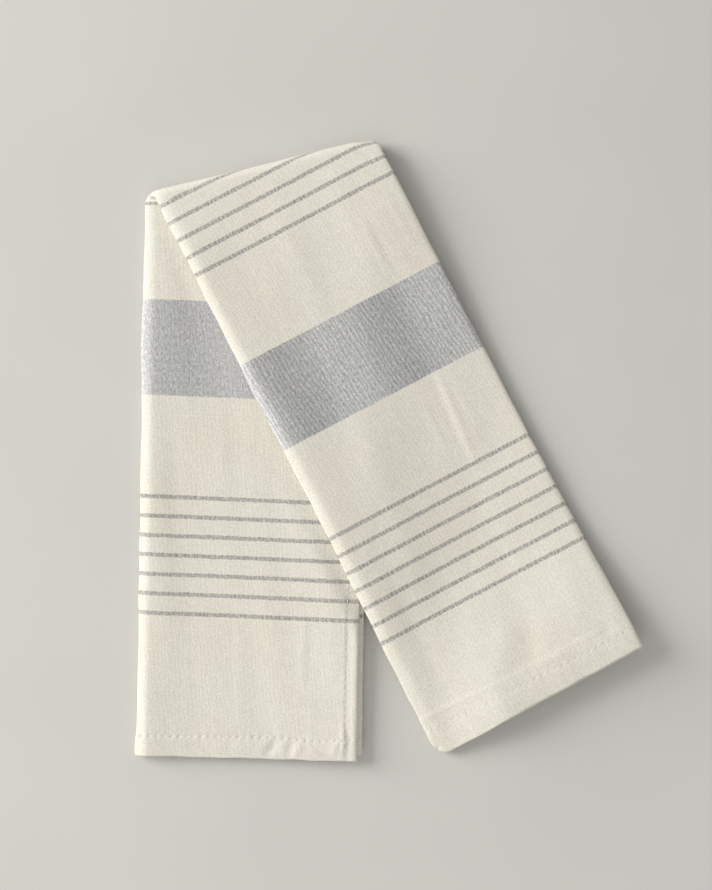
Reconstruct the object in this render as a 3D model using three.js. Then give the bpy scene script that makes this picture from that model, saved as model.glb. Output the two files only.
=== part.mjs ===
// A hemmed cotton tea towel, folded in four along its length, then turned over once on a
// slanting fold and left lying on a flat surface. Millimetres, +Z up, the surface at Z = 0.
import * as THREE from "three";

const { clamp, degToRad, lerp, smoothstep } = THREE.MathUtils;

// The cloth and its hems.
const CLOTH_THICKNESS = 1.0;
const HEM_THICKNESS = 1.2;
const HEM_SLOPE = 1.5; // the cloth thins over this length where a hem ends
const SIDE_HEM_WIDTH = 6.5;
const LOWER_HEM_WIDTH = 11.5;
const UPPER_HEM_WIDTH = 15.5;

// The strip that the cloth makes when it is folded in four.
const STRIP_WIDTH = 129.4;
const STRIP_LENGTH = 691.4;
const LAYER_GAP = 0.3;
const TOP_HEM_INSET = 2.9; // from the strip's right side in to the top layer's hem
const INNER_HEM_INSET = 1.2; // the same for the hem just under it

// How the strip lies: its lower half, the slanting fold and its upper half.
const LOWER_CORNER = new THREE.Vector2(-144.31, -175.43);
const LOWER_LEAN = degToRad(1.09);
const FOLD_START = 318.5; // along the strip's left side
const FOLD_SLANT = degToRad(14.2);
const RESTING_GAP = 0.35; // between the lower half and the upper half that lies on it
const FOLD_FOOT = 88; // the upper half comes down to the surface over this width at the fold
const LOWER_FOOT = 46; // and over this width at the lower end
const END_LIFT = 4.5; // the upper half's end curls up this far, most on its right
const LIFT_LENGTH = 80;
const LIFT_FROM = 10; // across the strip, the curl starts here
const LIFT_TO = 60; // and is full here

// How far each side spreads beyond the strip's width, along the strip.
const SPREAD = [
  { along: 0, side: 0.4 },
  { along: 60, side: 0 },
  { along: 540, side: 0.2 },
  { along: 640, side: 1.3 },
  { along: STRIP_LENGTH, side: 1.7 },
];

// How much longer than the strip the cloth is at each end, on the lines where it turns or ends.
const END_SHIFTS = {
  topHem: { lower: 1.0, upper: -0.6 },
  outerFold: { lower: 0, upper: 0.4 },
  rightFold: { lower: -2.0, upper: -1.4 },
  innerFold: { lower: -0.8, upper: 1.6 },
  innerHem: { lower: -1.2, upper: -0.8 },
};
const SHIFT_FADE = 10; // the shifts fade out over this length, inside the hems

// The layers of the strip, from the one on the surface to the top one.
const BOTTOM = 0;
const SECOND = 1;
const THIRD = 2;
const TOP = 3;
const LAYERS = [
  { sideHemInset: null },
  { sideHemInset: null },
  { sideHemInset: INNER_HEM_INSET },
  { sideHemInset: TOP_HEM_INSET },
];

// How finely the shape is cut up.
const ACROSS_CELLS = 10;
const CELL_MARGIN = 1; // no shared point comes nearer than this to the end of a flat run
const OUTER_TURN_STEPS = 6;
const INNER_TURN_STEPS = 4;
const LOWER_ROWS = 7;
const BEND_ROWS = 8;
const UPPER_ROWS = 20;

const CLOTH_COLOUR = 0xdcd8cb;

const alongStrip = new THREE.Vector2(Math.sin(LOWER_LEAN), Math.cos(LOWER_LEAN));
const acrossStrip = new THREE.Vector2(alongStrip.y, -alongStrip.x);
const slantSin = Math.sin(FOLD_SLANT);
const slantCos = Math.cos(FOLD_SLANT);
const slantTan = slantSin / slantCos;
const plainStack = 4 * CLOTH_THICKNESS + 3 * LAYER_GAP;
const hemmedStack = plainStack + 2 * (HEM_THICKNESS - CLOTH_THICKNESS);
const restHeight = hemmedStack + RESTING_GAP;
const bendLength = (Math.PI * (plainStack + restHeight)) / 2; // cloth taken up by the bend

// Thickness of one layer, which grows to the hem's within the hem's width of an edge.
function thicknessAt(layer, across, along) {
  const { sideHemInset } = LAYERS[layer];
  const depths = [LOWER_HEM_WIDTH - along, along - (STRIP_LENGTH - UPPER_HEM_WIDTH)];
  if (sideHemInset !== null) {
    depths.push(across - (STRIP_WIDTH - sideHemInset - SIDE_HEM_WIDTH));
  }
  const share = clamp(Math.max(...depths) / HEM_SLOPE, 0, 1);
  return lerp(CLOTH_THICKNESS, HEM_THICKNESS, share);
}

// Height of a layer's middle above the strip's underside.
function middleAt(layer, across, along) {
  let height = thicknessAt(layer, across, along) / 2;
  for (let below = 0; below < layer; below += 1) {
    height += thicknessAt(below, across, along) + LAYER_GAP;
  }
  return height;
}

function stackAt(across, along) {
  return middleAt(TOP, across, along) + thicknessAt(TOP, across, along) / 2;
}

// Interpolates a table's column at a place along the strip.
function readTable(table, column, along) {
  const last = table.findIndex((row) => row.along >= along);
  if (last <= 0) {
    return table[last < 0 ? table.length - 1 : 0][column];
  }
  const [before, after] = [table[last - 1], table[last]];
  const share = (along - before.along) / (after.along - before.along);
  return lerp(before[column], after[column], share);
}

// One stretch of the section lies flat in a layer. Its ends are its own, and the points between
// are shared by all layers, so that the layers stay parallel where the strip bends.
function flatRun(layer, from, to, startLine, endLine) {
  const left = Math.min(from, to) + CELL_MARGIN;
  const right = Math.max(from, to) - CELL_MARGIN;
  const inside = [];
  for (let cell = 1; cell < ACROSS_CELLS; cell += 1) {
    const across = (cell / ACROSS_CELLS) * STRIP_WIDTH;
    if (across > left && across < right) {
      inside.push(across);
    }
  }
  const places = [from, ...(from < to ? inside : inside.reverse()), to];
  return places.map((across) => ({
    layers: [layer, layer],
    across,
    turn: 0,
    facing: from < to ? 1 : -1,
    lines: [startLine, endLine],
    share: (across - from) / (to - from),
  }));
}

// One fold of the section, a half turn from one layer to another. Its ends belong to the runs.
function halfTurn(fromLayer, toLayer, across, side, steps, line) {
  const points = [];
  for (let step = 1; step < steps; step += 1) {
    points.push({
      layers: [fromLayer, toLayer],
      across,
      turn: (Math.PI * step) / steps,
      facing: side,
      lines: [line, line],
      share: 0,
    });
  }
  return points;
}

// The whole section of the strip, from the top layer's side hem to the hem just under it.
function sectionPlan() {
  const pitch = CLOTH_THICKNESS + LAYER_GAP;
  const outerTurn = 1.5 * pitch + CLOTH_THICKNESS / 2;
  const innerTurn = 0.5 * pitch + CLOTH_THICKNESS / 2;
  const outerLeft = outerTurn;
  const innerLeft = CLOTH_THICKNESS + LAYER_GAP + innerTurn;
  const right = STRIP_WIDTH - innerTurn;
  const topHem = STRIP_WIDTH - TOP_HEM_INSET;
  const innerHem = STRIP_WIDTH - INNER_HEM_INSET;
  return [
    ...flatRun(TOP, topHem, outerLeft, "topHem", "outerFold"),
    ...halfTurn(TOP, BOTTOM, outerLeft, -1, OUTER_TURN_STEPS, "outerFold"),
    ...flatRun(BOTTOM, outerLeft, right, "outerFold", "rightFold"),
    ...halfTurn(BOTTOM, SECOND, right, 1, INNER_TURN_STEPS, "rightFold"),
    ...flatRun(SECOND, right, innerLeft, "rightFold", "innerFold"),
    ...halfTurn(SECOND, THIRD, innerLeft, -1, INNER_TURN_STEPS, "innerFold"),
    ...flatRun(THIRD, innerLeft, innerHem, "innerFold", "innerHem"),
  ];
}

// Across and height of both faces of the cloth at one point of the section.
function facesAt(point, along) {
  const [fromLayer, toLayer] = point.layers;
  const fromMiddle = middleAt(fromLayer, point.across, along);
  const toMiddle = middleAt(toLayer, point.across, along);
  const half = thicknessAt(fromLayer, point.across, along) / 2;
  if (fromLayer === toLayer) {
    return [half, -half].map((offset) => [point.across, fromMiddle + offset * point.facing]);
  }
  const centre = (fromMiddle + toMiddle) / 2;
  const radius = Math.abs(fromMiddle - toMiddle) / 2;
  const upwards = Math.sign(toMiddle - fromMiddle);
  const inwards = upwards * point.facing;
  return [-half * inwards, half * inwards].map((offset) => [
    point.across + point.facing * (radius + offset) * Math.sin(point.turn),
    centre - upwards * (radius + offset) * Math.cos(point.turn),
  ]);
}

// The rows across the strip, from its lower end to its upper end. A row's slant is the share of
// the fold's slant that it takes.
function rowPlan() {
  const bendEnd = FOLD_START + bendLength / slantCos;
  const upperHemStart = STRIP_LENGTH - UPPER_HEM_WIDTH;
  const rows = [{ along: 0, slant: 0 }];
  rows.push({ along: LOWER_HEM_WIDTH - HEM_SLOPE, slant: 0 });
  for (let row = 0; row <= LOWER_ROWS; row += 1) {
    const slant = row / LOWER_ROWS;
    rows.push({ along: lerp(LOWER_HEM_WIDTH, FOLD_START, slant), slant });
  }
  for (let row = 1; row <= BEND_ROWS; row += 1) {
    rows.push({ along: lerp(FOLD_START, bendEnd, row / BEND_ROWS), slant: 1 });
  }
  for (let row = 1; row <= UPPER_ROWS; row += 1) {
    const share = row / UPPER_ROWS;
    rows.push({ along: lerp(bendEnd, upperHemStart, share), slant: 1 - share });
  }
  rows.push({ along: upperHemStart + HEM_SLOPE, slant: 0 });
  rows.push({ along: STRIP_LENGTH, slant: 0 });
  return rows;
}

// Where a point of the section falls along the strip, with the ends of the layers shifted.
function alongAt(row, point) {
  const along = row.along + row.slant * slantTan * point.across;
  const [start, end] = point.lines.map((line) => END_SHIFTS[line]);
  const lowerFade = 1 - smoothstep(row.along, 0, SHIFT_FADE);
  const upperFade = 1 - smoothstep(STRIP_LENGTH - row.along, 0, SHIFT_FADE);
  const lower = lerp(start.lower, end.lower, point.share) * lowerFade;
  const upper = lerp(start.upper, end.upper, point.share) * upperFade;
  return along - lower + upper;
}

// Height of the surface, or of the lower half of the strip, under the upper half.
function supportAt(ground) {
  const fromCorner = ground.clone().sub(LOWER_CORNER);
  const beyondSide = fromCorner.dot(acrossStrip) - STRIP_WIDTH;
  const downStrip = clamp(1 - fromCorner.dot(alongStrip) / FOLD_START, 0, 1);
  const foot = lerp(FOLD_FOOT, LOWER_FOOT, downStrip);
  return restHeight * (1 - smoothstep(beyondSide, 0, foot));
}

// How far the upper half's end curls up off the surface.
function liftAt(across, along) {
  const intoCurl = Math.max(1 - (STRIP_LENGTH - along) / LIFT_LENGTH, 0);
  return END_LIFT * intoCurl ** 2 * smoothstep(across, LIFT_FROM, LIFT_TO);
}

// Lays a point of the strip down: the lower half as it is, the rest turned over on the fold.
function layDown(across, along, height) {
  const stack = stackAt(across, along);
  const bendCentre = (stack + restHeight) / 2;
  const radius = bendCentre - height;
  const beyondFold = (along - FOLD_START) * slantCos - across * slantSin;
  const alongFold = (along - FOLD_START) * slantSin + across * slantCos;
  const turn = clamp(beyondFold / bendLength, 0, 1) * Math.PI;
  const pastBend = Math.max(beyondFold - bendLength, 0);
  const out = Math.min(beyondFold, 0) + radius * Math.sin(turn) - pastBend;
  const flatAcross = alongFold * slantCos - out * slantSin;
  const flatAlong = alongFold * slantSin + out * slantCos + FOLD_START;
  const ground = LOWER_CORNER.clone()
    .addScaledVector(acrossStrip, flatAcross)
    .addScaledVector(alongStrip, flatAlong);
  const support = supportAt(ground) + liftAt(across, along);
  const up = pastBend > 0 ? support + stack - height : bendCentre - radius * Math.cos(turn);
  return new THREE.Vector3(ground.x, ground.y, up);
}

// The two faces of the cloth as grids of points, and the rim that joins them.
function clothGeometry() {
  const section = sectionPlan();
  const rows = rowPlan();
  const positions = [];
  for (const row of rows) {
    for (const point of section) {
      const along = alongAt(row, point);
      const stretch = 1 + (2 * readTable(SPREAD, "side", row.along)) / STRIP_WIDTH;
      for (const [across, height] of facesAt(point, along)) {
        const slantedAlong = along + row.slant * slantTan * (across - point.across);
        const spreadAcross = (across - STRIP_WIDTH / 2) * stretch + STRIP_WIDTH / 2;
        positions.push(...layDown(spreadAcross, slantedAlong, height));
      }
    }
  }
  const vertex = (row, column, face) => 2 * (row * section.length + column) + face;
  const indices = [];
  const quad = (a, b, c, d, otherDiagonal) => {
    indices.push(...(otherDiagonal ? [b, c, d, b, d, a] : [a, b, c, a, c, d]));
  };
  const lastRow = rows.length - 1;
  const lastColumn = section.length - 1;
  for (let row = 0; row < lastRow; row += 1) {
    for (let column = 0; column < lastColumn; column += 1) {
      const leftwards = section[column + 1].facing < 0;
      for (const face of [0, 1]) {
        const corners = [
          vertex(row, column, face),
          vertex(row, column + 1, face),
          vertex(row + 1, column + 1, face),
          vertex(row + 1, column, face),
        ];
        const [a, b, c, d] = face === 0 ? corners : [corners[3], corners[2], corners[1], corners[0]];
        quad(a, b, c, d, leftwards);
      }
    }
    quad(vertex(row, 0, 0), vertex(row + 1, 0, 0), vertex(row + 1, 0, 1), vertex(row, 0, 1));
    quad(
      vertex(row, lastColumn, 1),
      vertex(row + 1, lastColumn, 1),
      vertex(row + 1, lastColumn, 0),
      vertex(row, lastColumn, 0),
    );
  }
  for (let column = 0; column < lastColumn; column += 1) {
    quad(vertex(0, column, 1), vertex(0, column + 1, 1), vertex(0, column + 1, 0), vertex(0, column, 0));
    quad(
      vertex(lastRow, column, 0),
      vertex(lastRow, column + 1, 0),
      vertex(lastRow, column + 1, 1),
      vertex(lastRow, column, 1),
    );
  }
  const geometry = new THREE.BufferGeometry();
  geometry.setAttribute("position", new THREE.Float32BufferAttribute(positions, 3));
  geometry.setIndex(indices);
  geometry.computeVertexNormals();
  return geometry;
}

const towel = new THREE.Mesh(
  clothGeometry(),
  new THREE.MeshStandardMaterial({ color: CLOTH_COLOUR, roughness: 0.95, metalness: 0 }),
);
towel.name = "towel";

const teaTowel = new THREE.Group();
teaTowel.add(towel);

export default teaTowel;
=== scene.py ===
"""A striped tea towel, folded in four and once across: its woven sheet, its hem stitches and a stage."""

import math
from collections import namedtuple
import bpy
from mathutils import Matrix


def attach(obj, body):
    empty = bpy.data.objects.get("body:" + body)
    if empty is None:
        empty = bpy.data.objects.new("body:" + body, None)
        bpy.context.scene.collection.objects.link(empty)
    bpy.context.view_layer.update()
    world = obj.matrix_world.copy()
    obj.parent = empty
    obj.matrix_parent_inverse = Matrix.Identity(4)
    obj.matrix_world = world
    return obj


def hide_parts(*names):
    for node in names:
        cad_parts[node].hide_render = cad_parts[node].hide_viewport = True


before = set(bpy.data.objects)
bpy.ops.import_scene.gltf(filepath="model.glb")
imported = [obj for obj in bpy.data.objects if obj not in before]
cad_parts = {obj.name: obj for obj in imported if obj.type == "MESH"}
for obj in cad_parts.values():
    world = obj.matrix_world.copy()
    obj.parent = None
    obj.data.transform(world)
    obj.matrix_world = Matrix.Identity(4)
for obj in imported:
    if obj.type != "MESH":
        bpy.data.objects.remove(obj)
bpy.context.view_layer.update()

from types import SimpleNamespace

import bpy
import numpy as np
from mathutils import Matrix, Vector

bl_info = {
    "name": "Folded tea towel",
    "version": (1, 0, 0),
    "blender": (4, 5, 0),
    "location": "View3D > Sidebar > Tea towel",
    "description": "Builds a folded striped tea towel with its hem stitches, and a plain stage",
    "category": "Add Mesh",
}

MM = 0.001
BODY = "root"
TOWEL_NODE = "towel"
CLOTH_PIECE = "folded_cloth"
STITCH_PIECE = "hem_stitches"
CLOTH_MAP = "cloth"
SEWING_MAP = "sewing"
BAKE_MAP = "OFBake"

# The layers of the folded strip, from the one on the surface to the top one.
BOTTOM = 0
SECOND = 1
THIRD = 2
TOP = 3
LAYER_COUNT = 4

# A crease is a soft ridge, or a trough where its height is below zero, on a line over the strip.
# Places are (across the strip, along the cloth), all in millimetres.
Crease = namedtuple("Crease", "start end width height")
# A mound is a soft round rise or hollow.
Mound = namedtuple("Mound", "place reach height")
# How proud the rounded bead of a side stands at a place along the cloth.
Bead = namedtuple("Bead", "along height")
# How far the left and the right side stand out at a place along the cloth.
Side = namedtuple("Side", "along left right")
# How far the cloth's ends stand out at each line where it turns or ends.
Shift = namedtuple("Shift", "lower upper")
# A grain of the yarn: its size each way over the cloth, the piece of noise it takes, and its detail.
Grain = namedtuple("Grain", "across along layer detail")

LOWER_CREASES = (
    Crease((74.4, 1.6), (82.2, 12.2), 2.0, -0.75),
    Crease((69.6, 1.5), (76.0, 11.0), 2.2, 0.25),
    Crease((87.2, 0.6), (89.8, 12.0), 1.7, -0.70),
    Crease((90.4, 1.6), (96.6, 11.0), 1.5, 0.42),
    Crease((98.0, 9.8), (105.4, 3.0), 1.3, 0.36),
    Crease((53.0, 1.5), (55.4, 12.5), 1.5, -0.26),
    Crease((112.8, 2.6), (116.2, 12.6), 1.5, 0.70),
    Crease((117.2, 0.2), (119.2, 11.0), 1.4, 0.48),
    Crease((119.1, 7.0), (118.4, 22.0), 1.2, 0.60),
    Crease((94.5, 40.0), (95.5, 82.0), 2.2, 0.20),
    Crease((98.5, 44.0), (99.5, 78.0), 2.4, -0.14),
    Crease((54.5, 22.0), (54.0, 108.0), 2.0, -0.10),
    Crease((47.0, 154.0), (46.0, 205.0), 2.2, 0.12),
    Crease((66.0, 150.0), (65.0, 196.0), 2.4, -0.10),
    Crease((20.0, 96.0), (19.0, 200.0), 3.0, -0.10),
    Crease((30.0, 12.0), (29.0, 70.0), 3.5, 0.10),
)

UPPER_CREASES = (
    Crease((99.6, 492.0), (94.8, 558.0), 1.6, 0.42),
    Crease((95.2, 498.0), (90.8, 556.0), 2.0, -0.22),
    Crease((84.4, 508.0), (82.8, 540.0), 1.7, 0.20),
    Crease((100.9, 400.0), (100.7, 438.0), 1.7, 0.26),
    Crease((104.0, 402.0), (103.8, 434.0), 2.0, -0.14),
    Crease((119.6, 396.0), (120.4, 430.0), 1.6, 0.26),
    Crease((-6.0, 669.6), (36.0, 671.4), 1.6, 0.16),
    Crease((72.0, 673.0), (93.0, 673.6), 1.2, 0.24),
    Crease((70.5, 642.0), (47.5, 671.0), 7.5, 0.75),
    Crease((85.0, 640.0), (66.0, 676.0), 6.0, -0.35),
    Crease((22.5, 590.0), (17.0, 670.0), 6.0, -0.35),
    Crease((5.5, 676.0), (9.0, 691.0), 3.2, 0.40),
    Crease((22.0, 560.0), (21.0, 630.0), 6.0, -0.14),
    Crease((26.0, 436.0), (24.0, 500.0), 6.0, -0.22),
    Crease((60.0, 380.0), (58.0, 440.0), 6.0, 0.14),
)

UPPER_MOUNDS = (
    Mound((112.0, 646.0), (15.0, 24.0), 0.55),
    Mound((117.5, 672.5), (4.5, 3.2), -0.55),
    Mound((122.5, 668.0), (4.0, 4.0), 0.35),
    Mound((30.0, 684.0), (22.0, 9.0), 0.45),
    Mound((48.0, 505.0), (16.0, 30.0), 0.22),
    Mound((100.0, 380.0), (16.0, 16.0), 0.20),
    Mound((76.0, 520.0), (31.0, 80.0), -1.4),
)

LOWER_MOUNDS = (
    Mound((34.0, 12.0), (14.0, 9.0), 0.16),
    Mound((114.0, 10.0), (7.0, 7.0), 0.25),
    Mound((60.0, 40.0), (26.0, 24.0), 0.12),
)

LOWER_LEFT = (
    Bead(0.0, 1.9),
    Bead(60.0, 1.7),
    Bead(150.0, 1.45),
    Bead(260.0, 1.2),
    Bead(300.0, 0.5),
    Bead(316.0, 0.1),
)

LOWER_RIGHT = (
    Bead(0.0, 2.0),
    Bead(40.0, 2.8),
    Bead(110.0, 2.6),
    Bead(180.0, 1.0),
    Bead(230.0, 0.0),
)

UPPER_LEFT = (
    Bead(338.0, 0.1),
    Bead(365.0, 0.9),
    Bead(410.0, 1.5),
    Bead(600.0, 1.4),
    Bead(645.0, 1.3),
    Bead(668.0, 0.8),
    Bead(682.0, 0.0),
    Bead(691.4, -0.2),
)

UPPER_RIGHT = (
    Bead(350.0, 0.2),
    Bead(400.0, 1.4),
    Bead(440.0, 1.5),
    Bead(490.0, 1.1),
    Bead(560.0, 1.1),
    Bead(620.0, 1.5),
    Bead(660.0, 0.8),
    Bead(691.4, 0.4),
)

# How far each side stands out beyond the strip's width, along the cloth.
SIDES = (
    Side(0.0, 0.4, 0.4),
    Side(30.0, -0.3, 0.2),
    Side(60.0, -0.4, 0.0),
    Side(90.0, 0.1, 0.0),
    Side(200.0, 0.3, 0.1),
    Side(214.0, 0.7, 0.1),
    Side(226.0, 1.2, 0.1),
    Side(250.0, 1.5, 0.1),
    Side(264.0, 0.8, 0.1),
    Side(294.0, 0.4, 0.1),
    Side(318.0, 0.7, 0.1),
    Side(336.0, -1.9, 0.1),
    Side(349.0, -1.2, -0.1),
    Side(382.0, -1.2, -0.2),
    Side(400.0, -0.7, -0.2),
    Side(440.0, -0.5, -0.2),
    Side(452.0, 0.1, 0.0),
    Side(492.0, 0.1, 0.1),
    Side(508.0, -0.3, 0.1),
    Side(545.0, -0.3, 0.2),
    Side(588.0, 0.4, 0.8),
    Side(628.0, 1.2, 1.3),
    Side(660.0, 1.4, 1.9),
    Side(691.4, 1.6, 1.6),
)

# How far the weft is drawn along the cloth where it goes round the fold.
TAKE_UP_ALONG = (276.0, 312.0, 318.0, 327.0, 336.0, 341.0)
TAKE_UP = (0.0, 1.8, 2.4, 3.9, 2.0, 0.0)
# The weft is drawn tighter where the rounded left side itself goes round the fold.
TIGHT_ALONG = (323.0, 326.5, 327.6, 331.0)
TIGHT = (0.0, -1.4, 1.4, 0.0)
TIGHT_REACH = 12.0

END_SHIFTS = {
    "top_hem": Shift(0.2, 0.5),
    "outer_fold": Shift(-0.8, 1.6),
    "right_fold": Shift(-3.6, -0.9),
    "inner_fold": Shift(-1.6, 2.4),
    "inner_hem": Shift(-3.3, 0.2),
}
SHIFT_FADE = 10.0
# How far the upper end's visible layer stands out close to its folded corner.
BULGE_ACROSS = (0.0, 7.0, 24.0, 34.0, 46.0)
BULGE = (0.4, 1.7, 1.6, 0.8, 0.0)

# Rows and columns close to a hem, as distances from the edge of the cloth.
LOWER_HEM_ROWS = (
    *(0.0, 0.3, 0.8, 1.6, 2.8, 4.2, 5.6, 7.0, 8.4, 9.6, 10.6, 11.3, 11.8),
    *(12.3, 12.8, 13.5, 14.5, 16.0, 18.0),
)
UPPER_HEM_ROWS = (
    *(27.0, 25.2, 24.0, 23.0, 22.1, 21.3, 20.5, 19.7, 18.9, 18.0, 16.8, 15.3, 14.1, 13.3, 12.7),
    *(12.1, 11.3, 10.1, 8.4, 6.4, 4.4, 2.8, 1.6, 0.8, 0.3, 0.0),
)
SIDE_HEM_COLUMNS = (0.0, 0.3, 0.8, 1.6, 2.7, 3.8, 4.9, 5.8, 6.3, 6.8, 7.3, 8.1, 9.3, 10.8, 12.5)
LOWER_STITCH_LINE = 12.3
UPPER_STITCH_LINE = 12.7
SIDE_STITCH_LINE = 6.8

# How far the lower line of stitches wanders off its row, across the strip.
WANDER_ACROSS = (7.0, 20.0, 49.0, 78.0, 88.0, 97.0, 106.0, 113.0, 121.0)
WANDER = (0.0, -0.15, 0.25, 0.2, -0.2, -1.2, -1.4, -1.0, 0.0)
WANDER_REACH = 6.0

# The loose end of the lower hem's thread, from the corner of the top layer.
THREAD_TAIL = ((-1.6, 0.2, 0.3), (-0.4, 0.1, 0.4), (0.8, -0.3, 0.3), (1.8, -0.9, -0.2), (2.6, -1.3, -0.9))

# How finely the sheet is cut up between its hems.
ROW_STEP = 4.2
TOP_STEP = 1.75
BOTTOM_STEP = 1.65
HIDDEN_STEP = 10.0
OUTER_TURN_STEPS = 18
INNER_TURN_STEPS = 6
BEND_ROWS = 14

# The slope of a hem's inner edge, and how the cloth's own edges round off.
HEM_SLOPE = 2.6
EDGE_ROUNDING = 0.7
EDGE_LEAST = 0.35
FAR_FROM_EDGE = 1000.0

# How bluntly a crease comes up from its two ends: the lower, the blunter.
CREASE_SWELL = 0.6

# The rounded sides: where their crests run across the strip, and how wide their flanks are.
LEFT_CREST = 6.5
LEFT_RISE = 5.0
LEFT_FALL = 17.0
LOWER_RIGHT_CREST = 126.0
UPPER_RIGHT_CREST = 127.6
RIGHT_RISE = 34.0
RIGHT_FALL = 3.0

# The lines of stitches: their grooves, the full edge and the lip beside the side hem's line, and puckers.
GROOVE_WIDTH = 0.75
SIDE_GROOVE_WIDTH = 0.55
SEAM_FADE = (12.0, 20.0)
SIDE_RIDGE = 2.0
SIDE_RIDGE_WIDTH = 2.1
SIDE_LIP = 1.3
SIDE_LIP_WIDTH = 0.9
PUCKER_REACH = 4.0
UPPER_PUCKERS = 0.7

# Uneven waves: the length of one radian, how far the phase drifts, and the length of its drift.
PUCKER_STEP = 5.4
END_PUCKERS = (PUCKER_STEP / (2.0 * math.pi), 1.6, 9.0)
SIDE_PUCKERS = (PUCKER_STEP / (2.0 * math.pi), 1.6, 11.0)
SIDE_WOBBLE = (6.1, 1.4, 17.0)
RIGHT_WOBBLE = -0.6
END_WOBBLE = (5.3, 1.2, 14.0)
FINE_WOBBLE = 0.5
FINE_WOBBLE_STEP = 2.7
FINE_WOBBLE_PHASE = 2.0

# The lower half's hems: the right fold draws back under them, and the inner one comes up under the top one.
TUCK_FADE = 60.0
TUCK_REACH = 30.0
CLOSE_WITHIN = 8.0
HEM_CLOSENESS = 0.85

# The folded corner of the upper end, and the fold's draw at its two ends.
INNER_ROUNDING = 4.0
FOLD_DRAW_FROM_TO = (121.0, 140.0)
LEFT_DRAW_FROM_TO = (55.0, 105.0)
FOLD_DRAW_REACH = 13.0

# Where the relief fades out close to the fold and under the upper half, which presses on the lower one.
RELIEF_FADE = 14.0
COVER_FADE = 12.0
COVER_END = -1.0
PRESS_EDGE = (-2.0, 11.0)
PRESS_FROM_TO = (25.0, 105.0)

# Shares of the way to the fold at which the weft's skew starts to fade and, past it, is full again.
SKEW_FADE = 0.75
SKEW_FULL = 1.1

# The map for baking: its margin, and the width of the rim's strips.
BAKE_MARGIN = 0.01
BAKE_RIM = 0.006

# Grains of the weave, of the thread and, in metres, of the floor.
WEFT_WANDER = Grain(9.0, 6.0, 3.1, 2.0)
WEFT_TEETH = Grain(0.8, 2.0, 7.7, 1.0)
SPECK = Grain(1.1, 1.1, 23.0, 2.0)
FLECK = Grain(0.8, 0.9, 53.0, 0.0)
STROKE = Grain(1.0, 2.4, 31.0, 1.0)
MOTTLE = Grain(4.5, 6.5, 61.0, 1.0)
WARP_STREAK = Grain(2.2, 120.0, 11.0, 3.0)
CLOUD = Grain(38.0, 55.0, 29.0, 2.0)
RIB_DRIFT = Grain(4.0, 14.0, 1.3, 2.0)
BEAD_DRIFT = Grain(2.4, 2.4, 5.9, 2.0)
SLUB = Grain(2.6, 0.7, 41.0, 0.0)
WARP_SLUB = Grain(0.7, 5.5, 47.0, 0.0)
THREAD_FUZZ = Grain(0.8, 0.8, 5.0, 2.0)
FLOOR_CLOUD = Grain(0.12, 0.12, 2.0, 2.0)

# How far the weft wanders, and how soft the edges of stripes and bands are.
WEFT_WANDER_REACH = 0.12
WEFT_TEETH_REACH = 0.22
STRIPE_EDGE = 0.35
BAND_EDGE = 0.4

# How much the grains lighten and darken each yarn.
CREAM_SPECK = 0.077
CREAM_MOTTLE = 0.017
CREAM_STREAK = 0.01
WARM_SHARE = 0.6
BAND_STROKE = 0.16
BAND_SPECK = 0.08
BAND_FLECK = (0.97, 1.28)
STRIPE_SPECK = 0.12
STRIPE_COVER = (0.40, 0.84)
SLUB_FROM_TO = (0.80, 0.88)
SLUB_SHADE = 0.88
WARP_SLUB_SHADE = 1.05

# What differs between the lower and the upper half, which shows the cloth's other face.
HALVES_MEET = (0.44, 0.52)
CREAM_RIB = (0.004, 0.016)
BAND_RIB = (0.05, 0.22)
STRIPE_RIB = (0.08, 0.20)
BAND_TONE = (1.06, 1.0)
# The lower half's share of the band's painted sheen.
BAND_PAINTED_SHEEN_SHARE = 0.4

# The ribs: how far they and their beads drift, in turns, and how much of a rib shows between its beads.
RIB_DRIFT_TURN = 0.4
BEAD_DRIFT_TURN = 0.6
RIB_LEAST = 0.25

# The band's painted sheen, lighter and darker across the strip, and its painted highlight on the rounded
# left side.
BAND_PAINTED_SHEEN_PLACE = 55.0
BAND_PAINTED_SHEEN_STEP = 64.0
BAND_PAINTED_HIGHLIGHT_FROM_TO = (1.0, 9.0)
BAND_PAINTED_HIGHLIGHT = 1.2

# Needle holes with painted shade in them, the swelling of the cloth between them, and painted shade along
# the side hem's seam.
HOLE_RADIUS = 0.22
HOLE_REACH = 0.85
HOLE_SHAPE = 0.62
HOLE_LEAST = 0.35
HOLE_OFTEN_FULL = 0.7
HOLE_CHANCE_STEP = 1.37
HOLE_LINE_STEP = 200.3
# How dark the needle holes are painted, as painted shade.
HOLE_PAINTED_SHADE = 0.86
SWELLING_FROM = 0.3
SWELLING_REACH = 2.2
LOWER_HOLES = 1.0
UPPER_HOLES = 0.5
SIDE_HOLES = 0.4
# Painted shade along the groove of the side hem's stitches: how dark, and how far from the line it fades.
SEAM_PAINTED_SHADE = 0.92
SEAM_FROM_TO = (0.1, 0.6)

# Heights in the weave's fine relief, against one speck.
RIB_RELIEF = 0.22
FLECK_RELIEF = 0.5
STROKE_RELIEF = 0.6
SLUB_RELIEF = 0.8
SLUB_RELIEF_FROM_TO = (0.72, 0.86)
HOLE_RELIEF = 0.75
SWELLING_RELIEF = 0.9
BUMP_STRENGTH = 0.4
WEAVE_DEPTH = 0.25
THREAD_DEPTH = 0.08

# Stitches: faces of one spindle of thread, how much its size differs, and its room above the floor.
SPINDLE_SEGMENTS = 6
SPINDLE_RINGS = 4
STITCH_LEAST = (0.85, 0.85, 0.88)
STITCH_MOST = (1.15, 1.15, 1.08)
STEEP_ROOM = 2.0
PLY_TURN = 9.0
PLY_RELIEF = 0.5

# How far the floor lies under the towel.
FLOOR_DROP = 0.1

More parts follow.
